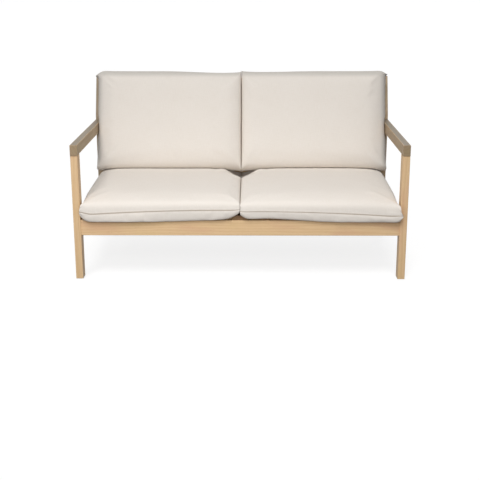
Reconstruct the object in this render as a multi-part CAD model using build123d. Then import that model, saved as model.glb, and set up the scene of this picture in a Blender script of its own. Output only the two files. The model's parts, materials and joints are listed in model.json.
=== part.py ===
from build123d import *
import os
from math import asin, cos, radians, sin, sqrt, tan

# Patio loveseat: an open hardwood frame with two seat cushions and two back cushions.
# Millimetres. +Z is up, the front faces -Y and +X is on the right of someone facing it.
# The origin is on the floor, under the middle of the overall box.

# Side frames
frame_width = 1283.0  # across the outer faces of the legs
board = 28.0  # thickness of legs, posts and arms, along X
leg_depth = 48.0  # front leg, front to back
post_depth = 48.0  # rear post, front to back
post_setback = 632.0  # from the front face of the leg to the front face of the post
arm_top = 532.0  # height of the arm's top face
arm_height = 42.0  # arm board, bottom to top
arm_overhang = 3.0  # arm's front end ahead of the leg
post_rise = 181.0  # top of the post above the arm
bend_rise = 12.0  # bend of the post above the arm
recline = 20.75  # degrees that the post leans back above its bend
bend_radius = 60.0  # inner radius of the sawn bend
board_round = 2.5  # rounded long edges of legs, posts and arms
glide_height = 4.0  # glide under each foot
glide_radius = 10.0
glide_round = 1.0

# Seat
rail_top = 238.0  # height of the top of all seat rails
rail_height = 60.0
rail_thick = 24.0  # front and rear rails
rail_setback = 4.0  # front rail behind the front of the legs
rear_rail_setback = 12.0  # rear rail behind the front of the posts
side_rail_thick = 22.0
bearer_count = 2  # cross boards under the seat slats, between the side rails
bearer_height = 60.0
bearer_thick = 22.0
rail_round = 2.0
slat_count = 15
slat_width = 60.0
slat_thick = 18.0
slat_setback = 6.0  # slat ends inside the outer faces of the front and rear rails
slat_round = 1.5

# Back
lower_slat_count = 3  # back slats below the bend
upper_slat_count = 2  # back slats above it
back_slat_height = 50.0
back_slat_thick = 20.0
back_slat_lift = 19.0  # lowest back slat above the seat slats
back_slat_drop = 8.0  # top back slat below the top of the posts
stile_width = 45.0
stile_thick = 22.0

# Joinery
tenon_length = 16.0
back_tenon_length = 12.0
tenon_thick = 12.0
tenon_shoulder = 8.0
mortise_gap = 0.1  # round a tenon
mortise_end_gap = 1.0  # past the end of a tenon
bolt_radius = 3.0
bolt_length = 62.0
bolt_head_radius = 6.5
bolt_head_height = 3.5
bolt_spacing = 30.0
bolt_hole_gap = 0.3
bolt_sink = 0.8  # bolt head below the face of the leg
hex_radius = 2.3  # socket in the bolt head, across corners / 2
hex_depth = 2.0
washer_radius = 7.5
washer_thick = 1.2
washer_bore_gap = 0.2
bolt_end_gap = 1.0  # past the tip of a bolt
nut_radius = 5.0
nut_length = 16.0
nut_inset = 28.0  # from the end of the rail to the axis of the barrel nut
nut_gap = 0.1
thread_gap = 0.05
dowel_radius = 4.0
dowel_length = 40.0
dowel_spacing = 21.0
dowel_inset = 9.0  # from the outer face of the frame to a dowel's axis
dowel_gap = 0.05
dowel_end_gap = 1.0
screw_radius = 2.0
screw_length = 32.0
screw_head_radius = 4.0
screw_head_height = 2.5
stile_screw_length = 34.0
screw_gap = 0.05
screw_end_gap = 1.0

# Cushions
soft_gap = 0.3  # between a cushion and what it touches
middle_gap = 2.0  # between the left and right cushions
side_gap = 2.5  # between a cushion and the side frame
seat_overhang = 20.0  # seat cushion ahead of the legs
seat_crown = 112.0  # seat cushion, flat underside to the top of its crown
seat_seam = 26.0  # height of its edge seam in the middle of the front
seat_edge = 9.0  # thickness of its edge at the sides
seat_edge_lift = 6.0  # side edges above the slats
back_rise = 26.0  # middle of the top seam of the back cushions above the posts
back_sink = 30.0  # length of back cushion that is squashed flat by the seat cushion
back_crown = 150.0  # back cushion, flat rear to the top of its crown
back_seam = 55.0
back_edge = 11.0
back_edge_lift = 30.0  # side edges ahead of the slats
edge_draw = 6.0  # edges drawn in between the corners
corner_reach = 55.0  # length of a corner that is not drawn in
shoulder_length = 80.0  # rounded front and rear, from the seam to the crown
belly = 2.0  # underside squashed flat by this much
core_round = 12.0

# Cushion form, as shares of its width, length and thickness
station_share = (0.0, 0.03, 0.13, 0.5, 0.87, 0.97, 1.0)
fullness_share = (0.0, 0.5, 0.87, 1.0, 0.87, 0.5, 0.0)
shoulder_height_share = 0.84
underside_share = 0.1
edge_foot_share = 0.4  # of the underside's own share, at the thin sides
core_width_share = 0.72
core_length_share = 0.72
core_height_share = 0.5
core_lift_share = 0.12
contact_share = 0.76  # where the back cushion bears on the seat cushion, along its length

overrun = 10.0  # cutting solids reach this far past what they cut

# Derived sizes
bend_z = arm_top + bend_rise
post_top = arm_top + post_rise
lean = radians(recline)
lean_length = (post_top - bend_z) / cos(lean)
inner_x = frame_width / 2 - board
leg_top = arm_top - arm_height
seat_z = rail_top + slat_thick
front_reach = max(seat_overhang, arm_overhang)
rear_reach = post_setback + lean_length * sin(lean) + post_depth * cos(lean)
leg_front = front_reach - (front_reach + rear_reach) / 2
post_front = leg_front + post_setback
side_x = frame_width / 2 - (board - side_rail_thick) / 2
cushion_width = inner_x - side_gap - middle_gap / 2


def block(low, high, round_axis=None, radius=0):
    """Box between two corners, with the edges along one axis rounded."""
    size = [b - a for a, b in zip(low, high)]
    body = Pos(*low) * Box(*size, align=(Align.MIN, Align.MIN, Align.MIN))
    if round_axis is not None:
        body = fillet(body.edges().filter_by(round_axis), radius)
    return body


def rod(start, direction, radius, length):
    """Cylinder from a start point along a direction."""
    return Plane(origin=start, z_dir=direction) * Cylinder(
        radius, length, align=(Align.CENTER, Align.CENTER, Align.MIN))


def joined(pieces):
    """One compound that keeps its pieces as separate solids."""
    return Compound(children=[solid for piece in pieces for solid in piece.solids()])


def other_side(piece):
    return mirror(piece, about=Plane.YZ)


# Back line: a path up the front face of the post, upright and then leaning.
# Length along it is measured from the bend, and depth runs back into the post.
def back_point(along, depth):
    if along <= 0:
        return (post_front + depth, bend_z + along)
    return (post_front + along * sin(lean) + depth * cos(lean),
            bend_z + along * cos(lean) - depth * sin(lean))


def back_plane(along):
    """Plane with X across the seat, Y back into the post and Z up the back line."""
    up = (0, 0, 1) if along <= 0 else (0, sin(lean), cos(lean))
    return Plane(origin=(0, *back_point(along, 0)), x_dir=(1, 0, 0), z_dir=up)


def bend_fillet(sketch, depth):
    """Round the outline's corner where the board bends, at one depth in the post."""
    corner = Vector(0, post_front + depth, bend_z - depth * tan(lean / 2))
    vertex = sketch.vertices().sort_by_distance(corner)[0]
    return fillet(vertex, radius=bend_radius + post_depth - depth)


def bent_board(x_low, width, near, far, low, high, edge_radius):
    """Board sawn to the back line, between two depths and two lengths along it."""
    outline = [
        back_point(low, near),
        (post_front + near, bend_z - near * tan(lean / 2)),
        back_point(high, near),
        back_point(high, far),
        (post_front + far, bend_z - far * tan(lean / 2)),
        back_point(low, far),
    ]
    profile = make_face(Polyline(*[(0, y, z) for y, z in outline], close=True))
    profile = bend_fillet(bend_fillet(profile, near), far)
    body = Pos(x_low, 0, 0) * extrude(profile, amount=width, dir=(1, 0, 0))
    sides = body.faces().filter_by(Axis.X)
    return fillet([edge for face in sides for edge in face.edges()], edge_radius)


# Back slats: their places up the back line
bend_reach = (bend_radius + post_depth) * tan(lean / 2)


def spread(low, high, count):
    """Lower edges of evenly spaced slats that fill a stretch of the back line."""
    pitch = (high - low - back_slat_height) / (count - 1)
    return [low + i * pitch for i in range(count)]


back_places = (spread(seat_z + back_slat_lift - bend_z, -bend_reach, lower_slat_count)
               + spread(bend_reach, lean_length - back_slat_drop, upper_slat_count))
back_tenon_low = (back_slat_thick - tenon_thick) / 2


def back_tenon(along, gap=0, end_gap=0):
    reach = inner_x + back_tenon_length + end_gap
    return back_plane(along) * block(
        (-reach, back_tenon_low - gap, tenon_shoulder - gap),
        (reach, back_tenon_low + tenon_thick + gap, back_slat_height - tenon_shoulder + gap))


def stile_screw(along, gap=0):
    """Screw from behind the stile into the middle of a back slat."""
    plane = back_plane(along)
    middle = plane.origin + plane.z_dir * (back_slat_height / 2)
    start = middle + plane.y_dir * (back_slat_thick + stile_thick)
    return screw(start, -plane.y_dir, stile_screw_length, gap)


def screw(start, direction, length, gap=0):
    """Countersunk screw with its head flush at the start point."""
    end_gap = screw_end_gap if gap else 0
    shank = rod(start, direction, screw_radius + gap, length + end_gap)
    head = Plane(origin=start, z_dir=direction) * Cone(
        screw_head_radius + gap, screw_radius + gap, screw_head_height,
        align=(Align.CENTER, Align.CENTER, Align.MIN))
    return shank + head


def back_slat(along):
    body = back_plane(along) * block(
        (-inner_x, 0, 0), (inner_x, back_slat_thick, back_slat_height), Axis.X, rail_round)
    return body + back_tenon(along) - stile_screw(along, screw_gap)


def back_stile():
    body = bent_board(-stile_width / 2, stile_width, back_slat_thick, back_slat_thick + stile_thick,
                      back_places[0], back_places[-1] + back_slat_height, rail_round)
    return body - [stile_screw(along, screw_gap) for along in back_places]


# Seat slats: their places across the seat, and the rails below them
slat_gap = (2 * inner_x - slat_count * slat_width) / (slat_count + 1)
slat_places = [-inner_x + slat_gap + i * (slat_width + slat_gap) for i in range(slat_count)]
front_rail_y = leg_front + rail_setback
rear_rail_y = post_front + rear_rail_setback
bearer_gap = (rear_rail_y - front_rail_y - rail_thick - bearer_count * bearer_thick) / (bearer_count + 1)
bearer_places = [front_rail_y + rail_thick + bearer_gap + i * (bearer_gap + bearer_thick)
                 for i in range(bearer_count)]
slat_front = front_rail_y + slat_setback
slat_rear = rear_rail_y + rail_thick - slat_setback
bearer_rows = [y + bearer_thick / 2 for y in bearer_places]
screw_rows = [front_rail_y + rail_thick / 2, *bearer_rows, rear_rail_y + rail_thick / 2]


def slat_screws(x_low, y, gap=0):
    return screw((x_low + slat_width / 2, y, seat_z), (0, 0, -1), screw_length, gap)


def seat_slat(x_low):
    body = block((x_low, slat_front, rail_top), (x_low + slat_width, slat_rear, seat_z),
                 Axis.Y, slat_round)
    return body - [slat_screws(x_low, y, screw_gap) for y in screw_rows]


# Bolts through the legs and posts into barrel nuts in the front and rear rails
bolt_levels = [rail_top - rail_height / 2 + side * bolt_spacing / 2 for side in (-1, 1)]
bolt_rows = (front_rail_y + rail_thick / 2, rear_rail_y + rail_thick / 2)
bolt_places = [(y, z) for y in bolt_rows for z in bolt_levels]
head_x = frame_width / 2 - bolt_sink - bolt_head_height
nut_x = inner_x - nut_inset
nut_depth = (rail_thick - nut_length) / 2


def rail_bolt(y, z):
    shank = rod((head_x, y, z), (-1, 0, 0), bolt_radius, bolt_length)
    head = rod((head_x, y, z), (1, 0, 0), bolt_head_radius, bolt_head_height)
    socket_face = Plane(origin=(head_x + bolt_head_height, y, z), z_dir=(-1, 0, 0))
    return shank + head - extrude(socket_face * RegularPolygon(hex_radius, 6), amount=hex_depth)


def bolt_washer(y, z):
    bore = rod((head_x + overrun, y, z), (-1, 0, 0), bolt_radius + washer_bore_gap, 2 * overrun)
    return rod((head_x, y, z), (-1, 0, 0), washer_radius, washer_thick) - bore


def bolt_cut(y, z):
    """Counterbore for the head and washer, and the hole for the shank."""
    seat = (head_x - washer_thick, y, z)
    counterbore = rod(seat, (1, 0, 0), washer_radius + bolt_hole_gap, 2 * overrun)
    hole = rod((head_x, y, z), (-1, 0, 0), bolt_radius + bolt_hole_gap, bolt_length + bolt_end_gap)
    return counterbore + hole


def nut_hole(y, z, gap, start_depth):
    """Barrel nut's cylinder, drilled from the hidden face of its rail."""
    inward = 1 if y == bolt_rows[0] else -1
    start = (nut_x, y + inward * (rail_thick / 2 - start_depth), z)
    return rod(start, (0, -inward, 0), nut_radius + gap, nut_depth + nut_length - start_depth)


def barrel_nut(y, z):
    thread = rod((inner_x, y, z), (-1, 0, 0), bolt_radius + thread_gap, bolt_length)
    return nut_hole(y, z, 0, nut_depth) - thread


def nut_cut(y, z):
    return nut_hole(y, z, nut_gap, -overrun)


# Dowels between the arm and the leg and post that carry it
dowel_x = frame_width / 2 - dowel_inset


def arm_dowels(gap=0, end_gap=0):
    half = dowel_length / 2 + end_gap
    upright = [rod((dowel_x, leg_front + leg_depth / 2 + side * dowel_spacing / 2, leg_top - half),
                   (0, 0, 1), dowel_radius + gap, 2 * half) for side in (-1, 1)]
    level = [rod((dowel_x, post_front - half, arm_top - arm_height / 2 + side * dowel_spacing / 2),
                 (0, 1, 0), dowel_radius + gap, 2 * half) for side in (-1, 1)]
    return upright + level


dowel_cuts = arm_dowels(dowel_gap, dowel_end_gap)

# Side rail, tenoned into the leg and the post
side_front = leg_front + leg_depth
rail_low = rail_top - rail_height
side_tenon_x = side_x - (side_rail_thick + tenon_thick) / 2
bearer_reach = side_x - side_rail_thick


def side_tenons(gap=0, end_gap=0):
    reach = tenon_length + end_gap
    return block((side_tenon_x - gap, side_front - reach, rail_low + tenon_shoulder - gap),
                 (side_tenon_x + tenon_thick + gap, post_front + reach, rail_top - tenon_shoulder + gap))


def bearer_tenons(y_low, gap=0, end_gap=0):
    reach = bearer_reach + side_rail_thick / 2 + end_gap
    inset = (bearer_thick - tenon_thick) / 2 - gap
    return block((-reach, y_low + inset, rail_top - bearer_height + tenon_shoulder - gap),
                 (reach, y_low + bearer_thick - inset, rail_top - tenon_shoulder + gap))


def side_rail():
    body = block((side_x - side_rail_thick, side_front, rail_low), (side_x, post_front, rail_top),
                 Axis.Y, rail_round)
    mortises = [bearer_tenons(y, mortise_gap, mortise_end_gap) for y in bearer_places]
    return body + side_tenons() - mortises


def seat_bearer(y_low):
    body = block((-bearer_reach, y_low, rail_top - bearer_height),
                 (bearer_reach, y_low + bearer_thick, rail_top), Axis.X, rail_round)
    cuts = [slat_screws(x, y_low + bearer_thick / 2, screw_gap) for x in slat_places]
    return body + bearer_tenons(y_low) - cuts


def long_rail(y_low, row):
    """Front or rear seat rail, bored for its bolts, barrel nuts and slat screws."""
    body = block((-inner_x, y_low, rail_low), (inner_x, y_low + rail_thick, rail_top), Axis.X, rail_round)
    right_cuts = [cut(y, z) for y, z in bolt_places if y == row for cut in (bolt_cut, nut_cut)]
    screw_cuts = [slat_screws(x, row, screw_gap) for x in slat_places]
    return body - right_cuts - [other_side(cut) for cut in right_cuts] - screw_cuts


def front_leg():
    body = block((inner_x, leg_front, glide_height), (inner_x + board, side_front, leg_top),
                 Axis.Z, board_round)
    body -= side_tenons(mortise_gap, mortise_end_gap)
    return body - [bolt_cut(y, z) for y, z in bolt_places if y == bolt_rows[0]] - dowel_cuts


def rear_post():
    body = bent_board(inner_x, board, 0, post_depth, glide_height - bend_z, lean_length, board_round)
    body -= side_tenons(mortise_gap, mortise_end_gap)
    body -= [back_tenon(along, mortise_gap, mortise_end_gap) for along in back_places]
    return body - [bolt_cut(y, z) for y, z in bolt_places if y == bolt_rows[1]] - dowel_cuts


def arm():
    body = block((inner_x, leg_front - arm_overhang, leg_top), (inner_x + board, post_front, arm_top))
    rear_edges = body.faces().sort_by(Axis.Y)[-1].edges()
    body = fillet([edge for edge in body.edges() if edge not in rear_edges], board_round)
    return body - dowel_cuts


def glide(y):
    body = rod((inner_x + board / 2, y, 0), (0, 0, 1), glide_radius, glide_height)
    return fillet(body.edges().sort_by(Axis.Z)[0], glide_round)


# Cushions. Local X runs across a cushion, Y from its front or lower edge, Z up from its flat side.
def pillow_section(x, length, crown, seam, fullness, edge, edge_lift):
    """Closed outline across a cushion: flat side, seams at both ends and crown."""
    def grown(low, high):
        return low + (high - low) * fullness

    def point(y, z):
        return (x, y, z)

    low = grown(edge_lift, -belly)
    top = grown(edge_lift + edge, crown)
    seam_z = grown(edge_lift + edge / 2, seam)
    draw = edge_draw * fullness
    shoulder_z = seam_z + (top - seam_z) * shoulder_height_share
    half_chord = length / 2 - shoulder_length
    rise = top - shoulder_z
    slope = asin(2 * rise * half_chord / (half_chord ** 2 + rise ** 2))
    foot = underside_share * length * max(fullness, edge_foot_share)
    front, rear = point(draw, seam_z), point(length - draw, seam_z)
    shoulders = point(shoulder_length, shoulder_z), point(length - shoulder_length, shoulder_z)
    feet = point(foot, low), point(length - foot, low)
    edges = [
        TangentArc(shoulders[0], front, tangent=(0, -cos(slope), -sin(slope))),
        ThreePointArc(shoulders[0], point(length / 2, top), shoulders[1]),
        TangentArc(shoulders[1], rear, tangent=(0, cos(slope), -sin(slope))),
        TangentArc(feet[1], rear, tangent=(0, 1, 0)),
        Line(feet[0], feet[1]),
        TangentArc(feet[0], front, tangent=(0, -1, 0)),
    ]
    return make_face(edges)


def side_trim(width, length, crown):
    """Shallow slice that draws one side in between its corners."""
    x = width / 2
    arc = ThreePointArc((x, corner_reach), (x - edge_draw, length / 2), (x, length - corner_reach))
    back = Polyline((x, length - corner_reach), (x + overrun, length - corner_reach),
                    (x + overrun, corner_reach), (x, corner_reach))
    return Pos(0, 0, -overrun) * extrude(make_face([arc, back]), amount=crown + 2 * overrun)


def pillow(width, length, crown, seam, edge, edge_lift):
    """Knife-edged cushion with a crown, drawn-in sides and one flat side at Z = 0."""
    sections = [pillow_section(width * (share - 0.5), length, crown, seam, fullness, edge, edge_lift)
                for share, fullness in zip(station_share, fullness_share)]
    body = loft(sections)
    trim = side_trim(width, length, crown)
    below = block((-width, -length, -crown), (width, 2 * length, 0))
    return body - below - trim - other_side(trim)


def foam_core(width, length, crown, gap=0):
    """Foam slab inside a cushion, or with a gap the room for it."""
    half_width = core_width_share * width / 2 + gap
    half_length = core_length_share * length / 2 + gap
    low = core_lift_share * crown
    body = block((-half_width, length / 2 - half_length, low - gap),
                 (half_width, length / 2 + half_length, low + core_height_share * crown + gap))
    return fillet(body.edges(), core_round + gap)


def crown_height(length, crown, seam, y):
    """Height and slope of a cushion's crown on its middle line."""
    shoulder_z = seam + (crown - seam) * shoulder_height_share
    half_chord = length / 2 - shoulder_length
    rise = crown - shoulder_z
    radius = (half_chord ** 2 + rise ** 2) / (2 * rise)
    offset = y - length / 2
    drop = sqrt(radius ** 2 - offset ** 2)
    return crown - radius + drop, -offset / drop


# Places of the cushions
cushion_x = (middle_gap + cushion_width) / 2
seat_length = post_setback + seat_overhang - 2 * soft_gap
seat_place = Pos(cushion_x, leg_front - seat_overhang, seat_z + soft_gap)
contact_y = contact_share * seat_length
contact_z, contact_slope = crown_height(seat_length, seat_crown, seat_seam, contact_y)
contact_point = (0, leg_front - seat_overhang + contact_y, seat_z + 2 * soft_gap + contact_z)
contact_face = Plane(origin=contact_point, x_dir=(1, 0, 0), z_dir=(0, -contact_slope, 1))

# The back cushion stands on the contact face and lies on the leaning back line
top_along = (post_top + back_rise - bend_z - back_seam * sin(lean)) / cos(lean)
lean_ahead = soft_gap / cos(lean)
seat_along = (contact_point[2] - bend_z) / cos(lean)
back_length = top_along - seat_along + back_sink + edge_draw
back_foot = (0, post_front - lean_ahead + (seat_along - back_sink) * sin(lean),
             bend_z + (seat_along - back_sink) * cos(lean))
back_place = Plane(origin=back_foot, x_dir=(1, 0, 0), z_dir=(0, -cos(lean), sin(lean)))

seat_form = (cushion_width, seat_length, seat_crown)
back_form = (cushion_width, back_length, back_crown)


def seat_cushion():
    cover = pillow(*seat_form, seat_seam, seat_edge, seat_edge_lift)
    return seat_place * (cover - foam_core(*seat_form, soft_gap))


def back_cushion():
    cover = back_place * (pillow(*back_form, back_seam, back_edge, back_edge_lift)
                          - foam_core(*back_form, soft_gap))
    squashed = contact_face * block((-cushion_width, -back_length, -back_length),
                                    (cushion_width, back_length, 0))
    return Pos(cushion_x, 0, 0) * (cover - squashed)


# The right-hand pieces are those at +X; the left-hand ones mirror them.
nodes = {
    "front_rail": long_rail(front_rail_y, bolt_rows[0]),
    "rear_rail": long_rail(rear_rail_y, bolt_rows[1]),
    "back_stile": back_stile(),
}
pairs = {
    "front_leg": front_leg(),
    "rear_post": rear_post(),
    "arm": arm(),
    "side_rail": side_rail(),
    "front_glide": glide(leg_front + leg_depth / 2),
    "rear_glide": glide(post_front + post_depth / 2),
    "seat_cushion_cover": seat_cushion(),
    "seat_cushion_foam": seat_place * foam_core(*seat_form),
    "back_cushion_cover": back_cushion(),
    "back_cushion_foam": Pos(cushion_x, 0, 0) * (back_place * foam_core(*back_form)),
}
for name, piece in pairs.items():
    nodes[name + "_right"] = piece
    nodes[name + "_left"] = other_side(piece)
for number, y in enumerate(bearer_places, start=1):
    nodes[f"seat_bearer_{number}"] = seat_bearer(y)
for number, x in enumerate(slat_places, start=1):
    nodes[f"seat_slat_{number:02d}"] = seat_slat(x)
for number, along in enumerate(back_places, start=1):
    nodes[f"back_slat_{number}"] = back_slat(along)

right_hardware = {
    "rail_bolts": [rail_bolt(y, z) for y, z in bolt_places],
    "bolt_washers": [bolt_washer(y, z) for y, z in bolt_places],
    "barrel_nuts": [barrel_nut(y, z) for y, z in bolt_places],
    "arm_dowels": arm_dowels(),
}
for name, pieces in right_hardware.items():
    nodes[name] = joined(pieces + [other_side(piece) for piece in pieces])
nodes["slat_screws"] = joined([slat_screws(x, y) for x in slat_places for y in screw_rows])
nodes["stile_screws"] = joined([stile_screw(along) for along in back_places])

os.makedirs("parts", exist_ok=True)
for name, piece in nodes.items():
    export_step(piece, f"parts/{name}.step")
print(len(nodes), "nodes, overall depth", round(front_reach + rear_reach, 1))
print("back cushion length", round(back_length, 1), "seat cushion length", round(seat_length, 1))
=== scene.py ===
import json
import math
import bpy
import numpy as np
from mathutils import Matrix, Vector

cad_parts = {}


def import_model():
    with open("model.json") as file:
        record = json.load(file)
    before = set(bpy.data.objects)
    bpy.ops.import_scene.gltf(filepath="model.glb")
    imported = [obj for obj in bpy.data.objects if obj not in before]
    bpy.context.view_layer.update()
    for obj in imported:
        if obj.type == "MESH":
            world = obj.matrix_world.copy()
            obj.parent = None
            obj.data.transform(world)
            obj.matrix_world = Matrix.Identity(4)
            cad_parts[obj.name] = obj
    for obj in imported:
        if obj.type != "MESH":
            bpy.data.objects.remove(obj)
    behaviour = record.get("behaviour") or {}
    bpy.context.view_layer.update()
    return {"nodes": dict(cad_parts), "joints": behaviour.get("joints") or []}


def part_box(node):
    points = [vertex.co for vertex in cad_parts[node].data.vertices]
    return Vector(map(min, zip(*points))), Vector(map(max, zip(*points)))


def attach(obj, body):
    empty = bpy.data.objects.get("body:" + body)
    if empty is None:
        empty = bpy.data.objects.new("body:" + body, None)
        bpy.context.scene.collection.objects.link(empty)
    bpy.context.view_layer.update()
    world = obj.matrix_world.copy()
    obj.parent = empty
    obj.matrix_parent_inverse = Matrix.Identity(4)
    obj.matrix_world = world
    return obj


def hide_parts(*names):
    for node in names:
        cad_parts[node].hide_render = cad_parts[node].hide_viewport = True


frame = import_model()
scene = bpy.context.scene
scene.view_settings.view_transform = "Standard"
print("frame loaded:", len(frame["nodes"]), "nodes")


# Places read from the frame: metres, +Z up, front towards -Y
def nodePoints(name):
    mesh = frame["nodes"][name].data
    points = np.empty(len(mesh.vertices) * 3)
    mesh.vertices.foreach_get("co", points)
    return points.reshape(-1, 3)


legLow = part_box("front_leg_right")[0]
slatLow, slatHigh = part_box("seat_slat_01")
railLow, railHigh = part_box("front_rail")
armLow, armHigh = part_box("arm_right")
postLow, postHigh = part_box("rear_post_right")
legFront, innerX = legLow.y, legLow.x
deckZ, slatFront, railTop = slatHigh.z, slatLow.y, railHigh.z
armTop, postFront = armHigh.z, postLow.y
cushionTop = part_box("back_cushion_cover_right")[1].z
liftAxis = next(j for j in frame["joints"] if j["name"] == "back_cushion_left_lift")["axis"]
leanUp = np.array(liftAxis) / np.linalg.norm(liftAxis)  # up the leaning back, in the plane of the slats
leanOut = np.array([0.0, -leanUp[2], leanUp[1]])  # square to it, towards the sitter
postPoints = nodePoints("rear_post_right")
leaning = postPoints[:, 2] > armTop + 0.06  # well above the arm, where the post leans back
leanOffset = (postPoints[leaning] @ leanOut).max()  # the back cushions lie on this plane


# Shader maths: a socket with arithmetic, where each operator adds one Math node
class Flow:
    def __init__(self, tree, socket=None):
        self.tree, self.socket = tree, socket

    def make(self, kind, settings, inputs, output=0):
        # any other node: its settings first, then a value or a link for each socket
        node = self.tree.nodes.new(kind)
        for name, value in settings.items():
            setattr(node, name, value)
        for name, value in inputs.items():
            if isinstance(value, Flow):
                self.tree.links.new(value.socket, node.inputs[name])
            else:
                node.inputs[name].default_value = value
        return Flow(self.tree, node.outputs[output] if node.outputs else None)

    def math(self, operation, *values):
        return self.make("ShaderNodeMath", {"operation": operation}, dict(enumerate(values)))

    def __add__(self, other):
        return self.math("ADD", self, other)

    def __sub__(self, other):
        return self.math("SUBTRACT", self, other)

    def __rsub__(self, other):
        return self.math("SUBTRACT", other, self)

    def __mul__(self, other):
        return self.math("MULTIPLY", self, other)

    def __truediv__(self, other):
        return self.math("DIVIDE", self, other)

    def __pow__(self, other):
        return self.math("POWER", self, other)

    __radd__, __rmul__ = __add__, __mul__

    def ease(self, low, high):
        # 0 below low, 1 above high, smooth in between
        return self.make("ShaderNodeMapRange", {"interpolation_type": "SMOOTHSTEP"},
                         {"Value": self, "From Min": low, "From Max": high})

    def tint(self, base, colour, blend="MIX"):
        # base colour towards another, by this mask
        return self.make("ShaderNodeMix", {"data_type": "RGBA", "blend_type": blend},
                         {0: self, 6: base, 7: colour}, 2)


def linear(red, green, blue):
    # a screen colour of 0 to 255 as the linear colour that a socket takes
    shares = [channel / 255 for channel in (red, green, blue)]
    return [c / 12.92 if c < 0.04045 else ((c + 0.055) / 1.055) ** 2.4 for c in shares] + [1.0]


def newMaterial(name):
    material = bpy.data.materials.new(name)
    material.use_nodes = True
    material.node_tree.nodes.clear()
    return material, Flow(material.node_tree)


def surface(flow, inputs):
    shader = flow.make("ShaderNodeBsdfPrincipled", {}, inputs)
    flow.make("ShaderNodeOutputMaterial", {}, {"Surface": shader})


def noise(flow, place, scale, detail=2.0, roughness=0.5, distortion=0.0):
    return flow.make("ShaderNodeTexNoise", {}, {
        "Vector": place, "Scale": scale, "Detail": detail,
        "Roughness": roughness, "Distortion": distortion})


def stretchedNoise(flow, place, scale, detail, roughness):
    # noise with a scale of its own along each axis
    stretched = flow.make("ShaderNodeMapping", {}, {"Vector": place, "Scale": scale})
    return noise(flow, stretched, 1.0, detail, roughness)


def axesOf(flow, vector):
    # the x, y and z of a vector, each as a socket of its own
    outputs = flow.make("ShaderNodeSeparateXYZ", {}, {"Vector": vector}).socket.node.outputs
    return [Flow(flow.tree, output) for output in outputs]


def relief(flow, height, strength, depth, normal=None):
    inputs = {"Strength": strength, "Distance": depth, "Height": height}
    if normal:
        inputs["Normal"] = normal
    return flow.make("ShaderNodeBump", {}, inputs)


timber = {
    "light": (226, 193, 150),  # early wood
    "dark": (206, 168, 124),  # late wood
    "pink": (215, 173, 138),
    "honey": (219, 189, 140),
    "pore": (158, 120, 86),
    # how much of each of these tints the light colour
    "lateTint": 0.42, "fibreTint": 0.8, "pinkTint": 0.6, "honeyTint": 0.5, "poreTint": 0.35,
    "endShade": 0.78,  # end grain drinks more oil and looks darker
    # the rear posts and seat slats are darker as painted shade, the left post more than the right
    "tones": {"arm": (0.56, 0.59, 0.63), "rear_post_left": (0.48, 0.54, 0.66),
              "rear_post_right": (0.66, 0.72, 0.82), "seat_slat": (0.5, 0.45, 0.4)},
    "toneSpread": (0.93, 1.03),  # boards differ
    # darkens the tops of the arms: partly greying, partly painted shade
    "weatheredAndShaded": (0.54, 0.58, 0.64),  # the tops of the arms have greyed
    "ringWidth": 0.012,
    "lateWood": (0.25, 0.92),  # the shares of a ring where it starts to darken and is darkest
    "wander": 0.022,  # how far the rings wander along a board
    "pith": (0.03, 0.10),  # how far it is from the middle of a board on each axis, at least and at most
    # scales of the noise along the grain and twice across it
    "warpScale": (1.6, 14.0, 14.0), "fibreScale": (9.0, 420.0, 420.0),
    "poreScale": (55.0, 1100.0, 1100.0), "blotchScale": (5.0, 22.0, 22.0),
    "arris": 0.0035, "arrisTint": 0.3, "arrisShade": 1.1,  # the sanded edges: width and paler colour
    "roughness": 0.52, "bump": (0.35, 0.0006),  # strength and depth
    "turns": {"x": (0, 0, 0), "y": (0, 0, -math.pi / 2), "z": (0, math.pi / 2, 0)},  # of the grain to x
}


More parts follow.
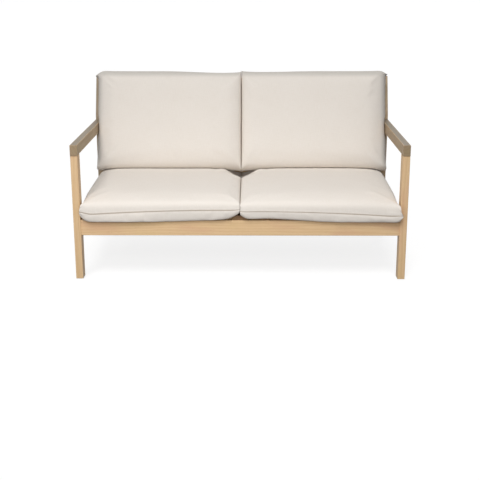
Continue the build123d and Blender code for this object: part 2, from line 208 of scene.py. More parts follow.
def woodMaterial(name, along, seed, box):
    # Rings are distances from a pith outside the board, pushed about by noise that is long
    # with the grain. Fibres and pores are noise stretched along it.
    material, flow = newMaterial(name)
    luck = np.random.default_rng(seed)
    coordinates = flow.make("ShaderNodeTexCoord", {}, {}, "Object")
    shift = [float(v) for v in luck.uniform(-3, 3, 3)]
    place = flow.make("ShaderNodeMapping", {}, {
        "Vector": coordinates, "Rotation": timber["turns"][along], "Location": shift})
    warp = stretchedNoise(flow, place, timber["warpScale"], 3.0, 0.55)
    across, up = axesOf(flow, place)[1:]
    pith = luck.uniform(*timber["pith"], 2) * luck.choice([-1, 1], 2)
    centre = rotated(along, [(a + b) / 2 for a, b in zip(*box)]) + np.array(shift)
    sideways = across - float(centre[1] + pith[0])
    upwards = up - float(centre[2] + pith[1])
    radius = (sideways * sideways + upwards * upwards) ** 0.5 + (warp - 0.5) * (2 * timber["wander"])
    ring = flow.math("FRACT", radius / timber["ringWidth"])
    late = ring.ease(*timber["lateWood"]) * (1 - ring.ease(timber["lateWood"][1], 1.0))
    fibre = stretchedNoise(flow, place, timber["fibreScale"], 3.0, 0.6)
    pore = stretchedNoise(flow, place, timber["poreScale"], 1.0, 0.5).ease(0.66, 0.76)
    blotch = stretchedNoise(flow, place, timber["blotchScale"], 2.0, 0.5)
    pink, honey = blotch.ease(0.5, 0.72), 1 - blotch.ease(0.3, 0.48)
    tone = float(luck.uniform(*timber["toneSpread"]))
    shades = next((v for start, v in timber["tones"].items() if start in name), (1.0, 1.0, 1.0))
    light = linear(*timber["light"])
    grain = late * timber["lateTint"] + (fibre - 0.5) * timber["fibreTint"]
    colour = grain.tint(light, linear(*timber["dark"]))
    colour = (pink * timber["pinkTint"]).tint(colour, linear(*timber["pink"]))
    colour = (honey * timber["honeyTint"]).tint(colour, linear(*timber["honey"]))
    colour = (pore * timber["poreTint"]).tint(colour, linear(*timber["pore"]))
    facing = axesOf(flow, flow.make("ShaderNodeTexCoord", {}, {}, "Normal"))
    ends = flow.math("ABSOLUTE", facing["xyz".index(along)]).ease(0.75, 0.95)
    shade = [timber["endShade"]] * 3 + [1.0]
    colour = ends.tint(colour, shade, "MULTIPLY")
    # the board's tone from the list above, painted shade for the rear posts and seat slats, and a random
    # tone
    colour = flow.make("ShaderNodeMix", {"data_type": "RGBA", "blend_type": "MULTIPLY"},
                       {0: 1.0, 6: colour, 7: [c * tone for c in shades] + [1.0]}, 2)
    # the arms' up-facing tops: partly greying, partly painted shade
    if name.startswith("timber_arm_"):
        colour = facing[2].ease(0.6, 0.95).tint(colour, list(timber["weatheredAndShaded"]) + [1.0], "MULTIPLY")
    edge = arris(flow, coordinates, along, box)
    paler = [c * tone * timber["arrisShade"] for c in light[:3]] + [1.0]
    colour = (edge * timber["arrisTint"]).tint(colour, paler)
    bump = relief(flow, fibre * 0.5 + late * 0.35 - pore * 0.8, *timber["bump"])
    surface(flow, {
        "Base Color": colour, "Normal": bump,
        "Roughness": timber["roughness"] + (fibre - 0.5) * 0.16 + pore * 0.1 + ends * 0.12 - edge * 0.08,
        "Specular IOR Level": 0.35})
    return material


def rotated(along, point):
    # a point of the object as the Mapping node of a board turns it
    turn = Matrix.Rotation(timber["turns"][along][1], 3, "Y")
    turn = Matrix.Rotation(timber["turns"][along][2], 3, "Z") @ turn
    return np.array(turn @ Vector(point))


def arris(flow, coordinates, along, box):
    # 1 on the long edges of a board: near its surface along both cross axes
    depths = []
    for index, (axis, part) in enumerate(zip("xyz", axesOf(flow, coordinates))):
        if axis != along:
            middle, half = (box[0][index] + box[1][index]) / 2, (box[1][index] - box[0][index]) / 2
            depths.append(half - flow.math("ABSOLUTE", part - middle))
    return 1 - flow.math("MAXIMUM", *depths).ease(timber["arris"] * 0.4, timber["arris"])


metal = {
    "zinc": (190, 192, 196), "stain": (150, 146, 138), "stained": (0.45, 0.75),
    "grimeScale": 180.0, "fineScale": 1500.0, "bump": (0.2, 0.0002),  # strength and depth
}


def metalMaterial():
    material, flow = newMaterial("zincSteel")
    place = flow.make("ShaderNodeTexCoord", {}, {}, "Object")
    grime = noise(flow, place, metal["grimeScale"], 3.0, 0.6)
    fine = noise(flow, place, metal["fineScale"], 1.0, 0.5)
    stained = grime.ease(*metal["stained"])
    surface(flow, {
        "Base Color": stained.tint(linear(*metal["zinc"]), linear(*metal["stain"])),
        "Metallic": 1.0, "Roughness": 0.3 + grime * 0.3, "Normal": relief(flow, fine, *metal["bump"])})
    return material


glidePlastic = {
    "grey": (52, 50, 48), "scuff": (96, 92, 88), "scuffed": (0.55, 0.7),
    "scuffScale": 420.0, "bump": (0.25, 0.0003),
}


def plasticMaterial():
    material, flow = newMaterial("glidePlastic")
    place = flow.make("ShaderNodeTexCoord", {}, {}, "Object")
    scuff = noise(flow, place, glidePlastic["scuffScale"], 3.0, 0.65)
    grey, worn = linear(*glidePlastic["grey"]), linear(*glidePlastic["scuff"])
    surface(flow, {
        "Base Color": scuff.ease(*glidePlastic["scuffed"]).tint(grey, worn),
        "Roughness": 0.45 + scuff * 0.3, "Normal": relief(flow, scuff, *glidePlastic["bump"])})
    return material


def assign(piece, material):
    for slot in piece.material_slots:
        slot.link = "OBJECT"
        slot.material = material


grainAxes = {
    "front_leg": "z", "rear_post": "z", "back_stile": "z", "arm_left": "y", "arm_right": "y",
    "side_rail": "y", "seat_slat": "y", "front_rail": "x", "rear_rail": "x",
    "seat_bearer": "x", "back_slat": "x", "arm_dowels": "y",
}
zinc, plastic = metalMaterial(), plasticMaterial()
for seed, (name, piece) in enumerate(sorted(frame["nodes"].items())):
    grain = next((axis for start, axis in grainAxes.items() if name.startswith(start)), None)
    if grain:
        assign(piece, woodMaterial("timber_" + name, grain, seed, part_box(name)))
    elif "glide" in name:
        assign(piece, plastic)
    elif "cushion" not in name:
        assign(piece, zinc)
print("frame finished in timber, zinc and plastic")


fabric = {
    "cream": (234, 227, 219),
    "shade": (224, 215, 204),  # thicker threads
    "seam": (150, 132, 113), "seamTint": 0.7, "seamWidth": 0.0022,
    # painted shade on the back cushions: down from the top, in from the sides and by a share
    # there, and above these heights over the slats
    "rimShade": (0.76, 0.77, 0.77), "rimTop": (0.022, 0.002), "rimSide": (0.026, 0.002),
    "rimShare": 0.5, "rimFrom": (0.11, 0.14),
    "thread": 0.0011,  # spacing of the threads
    "slubScales": ((30.0, 700.0, 1.0), (700.0, 30.0, 1.0)),  # of weft and warp, long with the thread
    "cloudScale": 9.0,
    # distances from a corner where its folds start and end, and from a seam where its gathers end
    "folds": 17.0, "foldWander": 9.0, "foldStart": (0.002, 0.010), "foldEnd": (0.016, 0.060),
    "gatherScale": 60.0, "gatherEnd": (0.004, 0.030),
    "weaveBump": (0.3, 0.0003), "foldBump": (0.7, 0.0015),  # strength and depth
}


def fabricMaterial():
    # Plain weave on the piece's own flat pattern: warp on top where the product of two sines is
    # positive, weft on top where it isn't, and each thread is round.
    material, flow = newMaterial("cushionFabric")
    pattern = flow.make("ShaderNodeUVMap", {"uv_map": "cloth"}, {})
    across, along = axesOf(flow, pattern)[:2]
    warp = flow.math("SINE", across * (math.pi / fabric["thread"]))
    weft = flow.math("SINE", along * (math.pi / fabric["thread"]))
    over = (warp * weft).ease(-0.1, 0.1)
    weave = over * flow.math("ABSOLUTE", warp) + (1 - over) * flow.math("ABSOLUTE", weft)
    slubs = [stretchedNoise(flow, pattern, scale, 2.0, 0.6) for scale in fabric["slubScales"]]
    slub = over * slubs[1] + (1 - over) * slubs[0]
    cloud = noise(flow, pattern, fabric["cloudScale"], 2.0, 0.5)
    colour = (slub.ease(0.35, 0.75) * 0.55 + (cloud - 0.5) * 0.3).tint(
        linear(*fabric["cream"]), linear(*fabric["shade"]))
    distance = flow.make("ShaderNodeAttribute", {"attribute_name": "seam"}, {}, "Fac")
    place = axesOf(flow, flow.make("ShaderNodeTexCoord", {}, {}, "Object"))
    aside, height = flow.math("ABSOLUTE", place[0]), place[2]
    # painted shade: the top of the back cushions darker, and their outer sides by a share
    top = height.ease(*[cushionTop - depth for depth in fabric["rimTop"]])
    outer = aside.ease(*[innerX - depth for depth in fabric["rimSide"]])
    outer = outer * height.ease(*[deckZ + rise for rise in fabric["rimFrom"]])
    rimShade = flow.math("MAXIMUM", top, outer * fabric["rimShare"])
    colour = rimShade.tint(colour, list(fabric["rimShade"]) + [1.0], "MULTIPLY")
    seam = 1 - distance.ease(fabric["seamWidth"] * 0.5, fabric["seamWidth"] * 1.4)
    colour = (seam * fabric["seamTint"]).tint(colour, linear(*fabric["seam"]))
    # gathers: folds that fan out from each corner, and short ones along the seams
    corner = flow.make("ShaderNodeAttribute", {"attribute_name": "corner"}, {}, "Fac")
    turn = flow.make("ShaderNodeAttribute", {"attribute_name": "turn"}, {}, "Fac")
    uneven = noise(flow, pattern, 26.0, 1.0, 0.5)
    fan = flow.math("SINE", turn * fabric["folds"] + uneven * fabric["foldWander"])
    fan = fan * corner.ease(*fabric["foldStart"]) * (1 - corner.ease(*fabric["foldEnd"]))
    gather = noise(flow, pattern, fabric["gatherScale"], 2.0, 0.5) - 0.5
    gather = gather * (1 - distance.ease(*fabric["gatherEnd"]))
    bump = relief(flow, weave + slub * 0.8, *fabric["weaveBump"])
    bump = relief(flow, fan + gather * 1.6, *fabric["foldBump"], bump)
    surface(flow, {
        "Base Color": colour, "Normal": bump, "Roughness": 0.88 + (slub - 0.5) * 0.12,
        "Specular IOR Level": 0.2, "Sheen Weight": 0.03, "Sheen Roughness": 0.5})
    return material


# Cushions: two panels sewn round a knife edge. Local x runs across, y from the front or lower
# edge and z up from the flat side. Shares s and t run from -1 to 1 across and along.
def bulge(share, power, softness):
    # 1 in the middle, falling to 0 at the edges, where a high power makes the side steep
    return np.clip(1 - np.abs(share) ** power, 0, 1) ** softness


squareness = 2.8  # of the rounded edges underneath, where 2 is a quarter of a circle


def rounding(distance, radius, power=squareness):
    # a quarter of a squarish ellipse: 0 at an edge and 1 from the radius inwards
    return (1 - np.clip(1 - distance / radius, 0, 1) ** power) ** (1 / power)


def blend(value, low, high):
    # 0 below low and 1 above high, smooth in between
    share = np.clip((value - low) / (high - low), 0, 1)
    return share * share * (3 - 2 * share)


def evenShares(half, rise, power, softness, spacing):
    # shares from -1 to 1 that cut the curve (half * share, rise * bulge) into equal lengths
    fine = np.sin(np.linspace(-np.pi / 2, np.pi / 2, 4001))
    run = np.hypot(np.diff(half * fine), np.diff(rise * bulge(fine, power, softness)))
    length = np.concatenate([[0], np.cumsum(run)])
    count = 2 * round(length[-1] / spacing / 2) + 1
    return np.interp(np.linspace(0, length[-1], count), length, fine)


def cushionGrid(form, seamHeight, crownHeight, underHeight):
    # The plan is a rectangle drawn in between its corners. The upper panel rises from the seam by
    # the smooth lesser of two bulges, and the lower one turns under with a rounding at each edge.
    half, middle, rise = form["width"] / 2, form["length"] / 2, form["crown"] - form["seam"]
    across = evenShares(half, rise, *form["innerPower"], form["spacing"])
    along = evenShares(middle, rise, *form["frontPower"], form["spacing"])
    along = np.union1d(along, -1 + np.array(form["extraRows"]) / middle)
    s, t = np.meshgrid(across, along)
    x = s * (half - form["draw"] * (1 - np.abs(t) ** form["drawPower"]))
    y = middle + t * (middle - form["draw"] * (1 - np.abs(s) ** form["drawPower"]))
    seam, crown, under = seamHeight(s, t), crownHeight(s, t), underHeight(s, t)
    sides = np.where(s * form["sign"] > 0, bulge(s, *form["outerPower"]), bulge(s, *form["innerPower"]))
    ends = np.where(t < 0, bulge(t, *form["frontPower"]), bulge(t, *form["rearPower"]))
    hip = form["hip"]
    full = (np.maximum(sides, 1e-4) ** -hip + np.maximum(ends, 1e-4) ** -hip - 1) ** (-1 / hip)
    full = np.where((sides > 0) & (ends > 0), full, 0)
    # the lower inner corner in front is rounder than the rest of the underside
    corner = (s * form["sign"] < 0) * (1 - blend((1 + t) * middle, *form["innerReach"]))
    radius = form["underSide"] + (form["innerTurn"] - form["underSide"]) * corner
    turned = (rounding((1 - np.abs(s)) * half, radius, squareness - form["innerEase"] * corner)
              * rounding((1 + t) * middle, form["underFront"], form["frontTurn"])
              * rounding((1 - t) * middle, form["underSide"]))
    top = np.dstack([x, y, seam + (crown - seam) * full])
    low = np.dstack([x, y, seam + (under - seam) * turned])
    for cornerS, cornerT, move in form["corners"]:
        # a corner is pulled out, with its neighbourhood
        away = np.hypot((s - cornerS) * half, (t - cornerT) * middle) / form["cornerReach"]
        pull = np.exp(-away ** 2)[..., None] * np.array(move)
        top, low = top + pull, low + pull
    return top, low


def quads(grid, below=False):
    # the corners of each cell in a grid of vertex numbers, anticlockwise as seen from its outside
    corners = [grid[:-1, :-1], grid[:-1, 1:], grid[1:, 1:], grid[1:, :-1]]
    if below:
        corners = corners[:1] + corners[:0:-1]
    return np.dstack(corners).reshape(-1, 4)


def sewn(top, under):
    # one closed mesh of both panels, which share the vertices of the seam
    rows, columns = top.shape[:2]
    upper = np.arange(rows * columns).reshape(rows, columns)
    lower = upper.copy()
    inside = (rows - 2) * (columns - 2)
    lower[1:-1, 1:-1] = rows * columns + np.arange(inside).reshape(rows - 2, columns - 2)
    points = np.vstack([top.reshape(-1, 3), under[1:-1, 1:-1].reshape(-1, 3)])
    upperFaces, lowerFaces = quads(upper), quads(lower, below=True)
    # the flat pattern: lengths along the middle lines, and the lower panel beside the upper one
    lengths = [np.concatenate([[0], np.cumsum(np.linalg.norm(np.diff(line, axis=0), axis=1))])
               for line in (top[rows // 2], top[:, columns // 2])]
    u, v = np.meshgrid(*lengths)
    pattern = np.dstack([u, v]).reshape(-1, 2)
    beside = pattern + [lengths[0][-1] * 1.1, 0]
    cornersU = pattern[upperFaces]
    cornersL = beside[quads(upper, below=True)]
    fromSide, fromEnd = np.minimum(u, lengths[0][-1] - u), np.minimum(v, lengths[1][-1] - v)
    marks = {"seam": np.minimum(fromSide, fromEnd), "corner": np.hypot(fromSide, fromEnd),
             "turn": np.arctan2(fromEnd, fromSide)}  # round the nearest corner
    marks = {name: np.concatenate([mark.reshape(-1), mark[1:-1, 1:-1].reshape(-1)])
             for name, mark in marks.items()}
    return points, np.vstack([upperFaces, lowerFaces]), np.vstack([cornersU, cornersL]), marks


def makeMesh(name, points, faces, corners, marks):
    mesh = bpy.data.meshes.new(name)
    mesh.from_pydata(points.tolist(), [], faces.tolist())
    layer = mesh.uv_layers.new(name="cloth")
    layer.data.foreach_set("uv", corners.reshape(-1).astype(np.float32))
    for mark, values in marks.items():
        attribute = mesh.attributes.new(mark, "FLOAT", "POINT")
        attribute.data.foreach_set("value", values.astype(np.float32))
    mesh.polygons.foreach_set("use_smooth", [True] * len(faces))
    piece = bpy.data.objects.new(name, mesh)
    scene.collection.objects.link(piece)
    return piece


cloth = {
    "pressure": 4.0, "frames": 20, "excess": 0.009, "cap": 0.003,
    "tension": 15.0, "bending": 0.6, "mass": 0.3,
}


def billowed(piece, seam):
    # The panels are cut a little larger than the seam, which is held, and filled by pressure.
    group = piece.vertex_groups.new(name="held")
    group.add(np.flatnonzero(seam < 1e-9).tolist(), 1.0, "REPLACE")
    modifier = piece.modifiers.new("Cloth", "CLOTH")
    settings = modifier.settings
    settings.quality = 5
    settings.mass = cloth["mass"]
    settings.tension_stiffness = settings.compression_stiffness = cloth["tension"]
    settings.bending_stiffness = cloth["bending"]
    settings.use_pressure = True
    settings.uniform_pressure_force = cloth["pressure"]
    settings.shrink_min = -cloth["excess"]
    settings.vertex_group_mass = "held"
    settings.effector_weights.gravity = 0
    modifier.point_cache.frame_start, modifier.point_cache.frame_end = 1, cloth["frames"]
    for step in range(1, cloth["frames"] + 1):
        scene.frame_set(step)
    evaluated = piece.evaluated_get(bpy.context.evaluated_depsgraph_get())
    moved = np.empty(len(evaluated.data.vertices) * 3)
    evaluated.data.vertices.foreach_get("co", moved)
    piece.modifiers.remove(modifier)
    piece.vertex_groups.remove(group)
    scene.frame_set(1)
    return moved.reshape(-1, 3)


def capped(start, moved, cap):
    # a move longer than the cap is drawn back to it, softly
    move = moved - start
    length = np.linalg.norm(move, axis=1, keepdims=True) + 1e-12
    return start + move / length * cap * np.tanh(length / cap)


def softStep(value, soft):
    # 0 well below zero and 1 well above it
    return 1 / (1 + np.exp(np.clip(-value / soft, -40, 40)))


def softFloor(value, limit, soft):
    # value where it is well above the limit, and the limit where it is below, with a smooth turn
    gap = np.clip((value - limit) / soft, -1, 1)
    return np.where(gap < 1, limit + soft * (gap + 1) ** 2 / 4, value)


def before(value, edge, distance, soft):
    # 1 where the value is lower than the edge by more than the distance, and 0 past that
    return softStep(edge - distance - value, soft)


seatForm = {
    "overMiddle": 0.010, "overSide": 0.0015,  # how far the pattern reaches past the free width
    "shorter": 0.001,  # than the free depth
    "crown": 0.091, "frontCrown": 0.072, "seam": 0.038, "wave": 0.0015,
    "underSide": 0.035, "underFront": 0.018, "frontTurn": 3.6,
    # the lower inner corner in front: its radius, how much less square it is, and where it ends
    "innerRound": {"left": 0.072, "right": 0.050}, "innerEase": 1.1, "innerReach": (0.03, 0.13),
    "hip": 1.8,
    # of the top at its inner rear corner, over these shares across and distances behind the legs
    "rearFall": 0.028, "fallAcross": (0.72, 0.98), "fallBehind": (0.34, 0.46),
    "outerPower": (5.5, 0.20), "innerPower": (9.0, 0.22),
    "frontPower": (9.0, 0.24), "rearPower": (6.0, 0.22),
    "extraRows": (0.013, 0.016, 0.019, 0.022, 0.025, 0.028, 0.032),  # behind the front edge
    "draw": 0.005, "drawPower": 7.0, "cornerReach": 0.028, "spacing": 0.0075,
    "middleGap": 0.0006, "sideGap": 0.0012, "rearGap": 0.0006, "deckGap": 0.0008, "railGap": 0.0004,
    "soft": 0.004, "deckSoft": 0.003,  # how softly it meets its neighbours and the slats
    # it passes the slats, rail and legs only this far in front of them, and turns this softly
    "beforeSlats": (0.004, 0.0012), "beforeRail": (0.0018, 0.0005), "beforeLeg": (0.007, 0.0012),
    # how far it reaches over the leg, and the middle and half height of the part that does
    "overLeg": 0.010, "ear": {"left": (0.015, 0.015), "right": (0.007, 0.011)},
    "groove": 0.0022, "grooveWidth": 0.0045,
    # under the back cushion, behind the front legs, and a share of it less beside the arm
    "dent": 0.024, "dentFrom": 0.45, "dentTo": 0.505, "dentRelief": 0.8, "reliefAcross": (0.75, 0.94),
    # height of the front seam in the middle, its slope and its curve, as far back as this share
    "frontSeam": {"left": (0.024, -0.010, -0.007), "right": (0.018, -0.010, -0.007)},
    "frontUntil": -0.5,
    "beneath": 0.004, "hangBlend": (0.004, 0.006), "hangLess": 0.001,  # the lower panel, unsettled
    # depth of the front edge below the slats, at distances from the middle of the seat
    "hangAt": (0.03, 0.06, 0.11, 0.19, 0.28, 0.37, 0.44, 0.56, 0.61),
    "hang": {"left": (0.009, 0.012, 0.0155, 0.018, 0.021, 0.023, 0.026, 0.026, 0.021),
             "right": (0.010, 0.010, 0.009, 0.013, 0.019, 0.023, 0.025, 0.027, 0.023)},
    "overRail": 0.0045,  # how far below the rail's top the edge may hang in front of it
    "outerCorner": {"left": (-0.001, 0.003, 0.011), "right": (0.009, -0.009, 0.006)},
    "innerCorner": {"left": (0.0, 0.0, 0.003), "right": (0.0, 0.0, 0.001)},
}
backForm = {
    "overMiddle": 0.010, "overSide": 0.014,
    "crown": 0.140, "seam": 0.056, "wave": 0.004, "beneath": 0.004,
    "underSide": 0.045, "underFront": 0.045, "frontTurn": 2.8,
    "hip": 2.2, "innerTurn": 0.045, "innerEase": 0.0, "innerReach": (0.03, 0.13),
    "outerPower": (6.0, 0.36), "innerPower": (10.0, 0.23), "frontPower": (6.0, 0.30),
    "rearPower": (6.0, 0.34), "extraRows": (),
    "draw": 0.005, "drawPower": 7.0, "cornerReach": 0.018, "spacing": 0.0075,
    "middleGap": 0.0006, "sideGap": 0.0014, "planeGap": 0.0007, "seatGap": 0.001,
    "soft": 0.004, "seatSoft": 0.006,  # how softly it meets its neighbours and the seat cushion
    # how far it reaches sideways above the arm, and below the arm in front of the post
    "abovePost": {"left": 0.0065, "right": 0.017}, "belowArm": {"left": 0.007, "right": 0.009},
    # where that starts: over the arm, under the post's top, under the arm and ahead of the post
    "overArm": 0.022, "underPostTop": 0.008, "underArm": 0.018, "beforePost": (0.016, 0.003),
    "groove": 0.0022, "grooveWidth": 0.0045,
    "height": 0.435, "below": 0.0045,  # under the top of the solid
    "sag": 0.010, "sagDepth": 0.30, "sagPower": (4.2, 0.44),
    "fieldCell": 0.009,  # of the grid that the seat cushion's height is read on
    "innerEar": {"left": (0.0, 0.002, 0.0), "right": (0.0, 0.001, 0.0)},
    # of the top edge towards the middle of the seat, over these shares across and up
    "dip": {"left": 0.008, "right": 0.004}, "dipAcross": (-0.1, 0.8), "dipUp": (0.6, 1.0),
    # how far the upper outer corner reaches sideways and down the back
    "outerEar": {"left": (0.012, -0.025), "right": (0.005, -0.016)}, "lowerEar": (0.0, -0.006, 0.0),
}


def finishedCushion(name, form, heights, toWorld, settle):
    top, under = cushionGrid(form, *heights)
    points, faces, corners, marks = sewn(toWorld(top), toWorld(under))
    seam = marks["seam"]
    piece = makeMesh(name, points, faces, corners, marks)
    points = capped(points, billowed(piece, seam), cloth["cap"])
    piece.data.vertices.foreach_set("co", points.reshape(-1).astype(np.float32))
    piece.data.update()
    normals = np.empty(len(points) * 3)
    piece.data.vertices.foreach_get("normal", normals)
    inward = form["groove"] * np.exp(-(seam / form["grooveWidth"]) ** 2)
    points = settle(points - normals.reshape(-1, 3) * inward[:, None])
    piece.data.vertices.foreach_set("co", points.reshape(-1).astype(np.float32))
    smooth = piece.modifiers.new("Smooth", "SUBSURF")
    smooth.levels = smooth.render_levels = 1
    piece.data.update()
    return piece, points


def seatCushion(side, sign):
    low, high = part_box("seat_cushion_cover_" + side)
    form = dict(seatForm, sign=sign, innerTurn=seatForm["innerRound"][side])
    form["length"] = high.y - low.y - form["shorter"]
    form["width"] = innerX + form["overSide"] + form["overMiddle"]
    form["corners"] = [(sign, -1, form["outerCorner"][side]), (-sign, -1, form["innerCorner"][side])]
    middle = sign * (form["width"] / 2 - form["overMiddle"])

    def place(t):
        return low.y + (1 + t) * form["length"] / 2

    def hang(x):
        return np.interp(sign * x, form["hangAt"], form["hang"][side])

    def seamHeight(s, t):
        outer = s * sign  # 1 at the arm and -1 in the middle of the seat
        level, slope, curve = form["frontSeam"][side]
        front = 1 - blend(t, -1, form["frontUntil"])
        return form["seam"] * (1 - front) + (level + slope * outer + curve * outer ** 2) * front

    def crownHeight(s, t):
        # it climbs from the front to the back cushion, which presses it down, with a slow wave
        wave = form["wave"] * np.sin(2.1 * s + 1.3 * sign) * np.cos(1.7 * t)
        pressed = form["dent"] * blend(place(t), legFront + form["dentFrom"], legFront + form["dentTo"])
        climb = np.sin(np.pi / 2 * np.clip((place(t) - legFront) / form["dentFrom"], 0, 1))
        crown = form["frontCrown"] + (form["crown"] - form["frontCrown"]) * climb
        fallFrom, fallTo = form["fallBehind"]
        crown = crown - (form["rearFall"] * blend(-s * sign, *form["fallAcross"])
                         * blend(place(t), legFront + fallFrom, legFront + fallTo))
        return crown + wave - pressed * (1 - form["dentRelief"] * blend(s * sign, *form["reliefAcross"]))

    def underHeight(s, t):
        # in front of the slats the cushion hangs below their tops
        near, far = form["hangBlend"]
        ahead = 1 - blend(place(t), slatFront - near, slatFront + far)
        return -form["beneath"] - (hang(middle + s * form["width"] / 2) - form["hangLess"]) * ahead

    def toWorld(points):
        return points + np.array([middle, low.y, deckZ])

    def settle(points):
        # the slats and the rail under it, then the leg, the other cushion and the post beside it
        x, y, z = points.T
        overhang = form["overRail"] * before(y, railLow.y, *form["beforeRail"])
        deepest = deckZ - railTop - form["railGap"] + overhang
        depth = np.minimum(hang(x), deepest) * before(y, slatFront, *form["beforeSlats"])
        z = softFloor(z, deckZ + form["deckGap"] - depth, form["deckSoft"])
        earMiddle, earHalf = form["ear"][side]
        ear = np.exp(-((z - deckZ - earMiddle) / earHalf) ** 2)  # only this part passes the leg
        limit = innerX - form["sideGap"] + form["overLeg"] * ear * before(y, legFront, *form["beforeLeg"])
        outward = limit - softFloor(limit - sign * x, 0, form["soft"])
        outward = softFloor(outward, form["middleGap"], form["soft"])
        y = postFront - softFloor(postFront - y, form["rearGap"], form["soft"])
        return np.column_stack([sign * outward, y, z])

    heights = seamHeight, crownHeight, underHeight
    return finishedCushion("seatCushion_" + side, form, heights, toWorld, settle)


def heightField(points, cell):
    # highest point of a cushion in each cell of a plan grid, with the empty cells far below
    low = points[:, :2].min(0)
    index = ((points[:, :2] - low) / cell).astype(int)
    grid = np.full(index.max(0) + 1, -1.0)
    np.maximum.at(grid, tuple(index.T), points[:, 2])
    return low, grid


def heightUnder(field, cell, x, y):
    low, grid = field
    i = np.clip((x - low[0]) / cell - 0.5, 0, grid.shape[0] - 1.001)
    j = np.clip((y - low[1]) / cell - 0.5, 0, grid.shape[1] - 1.001)
    a, b = i.astype(int), j.astype(int)
    f, g = i - a, j - b
    return ((1 - f) * (1 - g) * grid[a, b] + f * (1 - g) * grid[a + 1, b]
            + (1 - f) * g * grid[a, b + 1] + f * g * grid[a + 1, b + 1])


def backCushion(side, sign, seatPoints):
    alongHigh = (nodePoints("back_cushion_cover_" + side) @ leanUp).max() - backForm["below"]
    form = dict(backForm, length=backForm["height"], sign=sign)
    form["width"] = innerX + form["overSide"] + form["overMiddle"]
    sideways, downwards = form["outerEar"][side]
    form["corners"] = [(-sign, 1, form["innerEar"][side]), (sign, 1, (sign * sideways, downwards, 0.0)),
                       (-sign, -1, form["lowerEar"])]

    def seamHeight(s, t):
        return form["seam"] + 0 * s

    def crownHeight(s, t):
        return form["crown"] + form["wave"] * np.sin(1.9 * s + 0.7 * sign) * np.cos(1.3 * t + 0.4)

    def underHeight(s, t):
        return -form["beneath"] + 0 * s

    cell = form["fieldCell"]
    field = heightField(seatPoints, cell)
    middle = sign * (form["width"] / 2 - form["overMiddle"])

    def toWorld(points):
        # the lower edge sags between its corners, until it lies on the seat cushion
        x, y, z = points[..., 0], points[..., 1], points[..., 2]
        share = 2 * x / form["width"]
        lower = np.clip(1 - y / (form["sagDepth"] * form["length"]), 0, 1)
        y = y - form["sag"] * bulge(share, *form["sagPower"]) * lower ** 2
        dip = form["dip"][side] * blend(-share * sign, *form["dipAcross"])
        y = y - dip * blend(y / form["length"], *form["dipUp"])
        along, out = y + alongHigh - form["length"], z + leanOffset
        right = np.array([1.0, 0.0, 0.0])
        return (x + middle)[..., None] * right + along[..., None] * leanUp + out[..., None] * leanOut

    def settle(points):
        # the slats behind it, then the post, arm and other cushion beside it and the seat below
        soft = form["soft"]
        out = points @ leanOut - leanOffset
        points = points + (softFloor(out, form["planeGap"], soft) - out)[:, None] * leanOut
        x, y, z = points.T
        limit = innerX - form["sideGap"]
        limit = limit + form["abovePost"][side] * softStep(z - armTop - form["overArm"], soft)
        limit = limit + sideways * softStep(z - postHigh.z + form["underPostTop"], soft)
        limit = limit + (form["belowArm"][side] * before(z, armLow.z, form["underArm"], soft)
                         * before(y, postFront, *form["beforePost"]))
        outward = limit - softFloor(limit - sign * x, 0, soft)
        outward = softFloor(outward, form["middleGap"], soft)
        ground = heightUnder(field, cell, sign * outward, y) + form["seatGap"]
        lift = softFloor(z, ground, form["seatSoft"]) - z
        return np.column_stack([sign * outward, y, z]) + (lift / leanUp[2])[:, None] * leanUp

    heights = seamHeight, crownHeight, underHeight
    return finishedCushion("backCushion_" + side, form, heights, toWorld, settle)


cream = fabricMaterial()
for side, sign in (("left", -1), ("right", 1)):
    seat, seatPoints = seatCushion(side, sign)
    back = backCushion(side, sign, seatPoints)[0]
    for piece, kind, fill in ((seat, "seat_cushion", 0.8), (back, "back_cushion", 0.7)):
        piece.data.materials.append(cream)
        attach(piece, f"{kind}_{side}")
        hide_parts(f"{kind}_cover_{side}", f"{kind}_foam_{side}")
    print("cushions of the", side, "seat sewn and filled")


studio = {
    "floor": (0.28, 0.28, 0.28, 1.0), "floorSeen": 0.22, "floorGlow": 0.84, "floorReach": 30.0,
    "worldLight": 0.16,
    # how high and how far to the right each lamp stands, in degrees, its strength and softness
    "key": (54, -9, 2.04, 28),
    "rear": (42, 180, 0.5, 40),
    # a soft box in front: metres to the right, ahead of the legs and up, width and depth of its
    # face, power, and degrees that it is turned up from facing the floor
    "low": (-0.25, 0.9, 0.68, 1.6, 0.22, 5.1, 75),
}


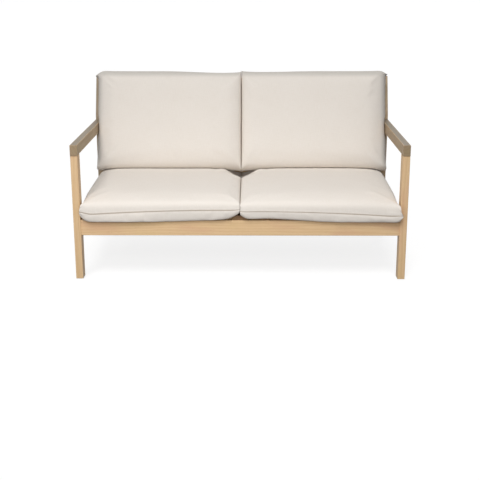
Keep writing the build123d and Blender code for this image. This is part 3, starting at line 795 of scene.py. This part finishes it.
def studioScene():
    # A white room for the camera, glossy and transmission rays, and a plain grey one for light.
    world = bpy.data.worlds.new("studioWorld")
    world.use_nodes = True
    world.node_tree.nodes.clear()
    flow = Flow(world.node_tree)
    white = flow.make("ShaderNodeBackground", {}, {"Color": (1, 1, 1, 1), "Strength": 1.0})
    light = flow.make("ShaderNodeBackground", {}, {"Color": (1, 1, 1, 1), "Strength": studio["worldLight"]})
    mixed = flow.make("ShaderNodeMixShader", {}, {0: seenByCamera(flow), 1: light, 2: white})
    flow.make("ShaderNodeOutputWorld", {}, {"Surface": mixed})
    scene.world = world
    material, flow = newMaterial("studioFloor")
    diffuse = flow.make("ShaderNodeBsdfDiffuse", {}, {"Color": studio["floor"]})
    faint = flow.make("ShaderNodeBsdfDiffuse", {}, {"Color": [studio["floorSeen"]] * 3 + [1.0]})
    glow = flow.make("ShaderNodeEmission", {}, {"Color": (1, 1, 1, 1), "Strength": studio["floorGlow"]})
    added = flow.make("ShaderNodeAddShader", {}, {0: faint, 1: glow})
    mixed = flow.make("ShaderNodeMixShader", {}, {0: seenByCamera(flow), 1: diffuse, 2: added})
    flow.make("ShaderNodeOutputMaterial", {}, {"Surface": mixed})
    reach = studio["floorReach"]
    corners = [(-reach, -reach, 0), (reach, -reach, 0), (reach, reach, 0), (-reach, reach, 0)]
    mesh = bpy.data.meshes.new("studioFloor")
    mesh.from_pydata(corners, [], [(0, 1, 2, 3)])
    mesh.materials.append(material)
    floor = bpy.data.objects.new("studioFloor", mesh)
    scene.collection.objects.link(floor)
    for name in ("key", "rear"):
        height, right, strength, softness = studio[name]
        lamp = bpy.data.lights.new(name, "SUN")
        lamp.energy, lamp.angle = strength, math.radians(softness)
        light = bpy.data.objects.new(name, lamp)
        turn = Matrix.Rotation(math.radians(right), 4, "Z")
        light.matrix_world = turn @ Matrix.Rotation(math.radians(90 - height), 4, "X")
        scene.collection.objects.link(light)
    right, ahead, height, width, depth, power, tilt = studio["low"]
    lamp = bpy.data.lights.new("low", "AREA")
    lamp.shape, lamp.size, lamp.size_y, lamp.energy = "RECTANGLE", width, depth, power
    light = bpy.data.objects.new("low", lamp)
    place = Matrix.Translation((right, legFront - ahead, height))
    light.matrix_world = place @ Matrix.Rotation(math.radians(tilt), 4, "X")
    light.visible_camera = False
    scene.collection.objects.link(light)


def seenByCamera(flow):
    # 1 for the rays that see the white room, and 0 for those that carry light
    rays = flow.make("ShaderNodeLightPath", {}, {}).socket.node.outputs
    names = "Is Camera Ray", "Is Glossy Ray", "Is Transmission Ray"
    kinds = [Flow(flow.tree, rays[name]) for name in names]
    return flow.math("MINIMUM", kinds[0] + kinds[1] + kinds[2], 1.0)


view = {
    "right": 0.0444, "ahead": 3.5245, "height": 1.178,  # metres, ahead of the front legs
    "down": 16.087, "turn": 0.722, "roll": -0.104,  # degrees
    "lens": 71.25,
}


def studioCamera():
    data = bpy.data.cameras.new("studioCamera")
    data.lens, data.sensor_width = view["lens"], 36.0
    camera = bpy.data.objects.new("studioCamera", data)
    turn = Matrix.Rotation(math.radians(view["turn"]), 4, "Z")
    tilt = Matrix.Rotation(math.radians(90 - view["down"]), 4, "X")
    roll = Matrix.Rotation(math.radians(view["roll"]), 4, "Z")
    place = Matrix.Translation((view["right"], legFront - view["ahead"], view["height"]))
    camera.matrix_world = place @ turn @ tilt @ roll
    scene.collection.objects.link(camera)
    scene.camera = camera


studioScene()
studioCamera()
bpy.context.view_layer.update()
print("studio, camera and sizes done")
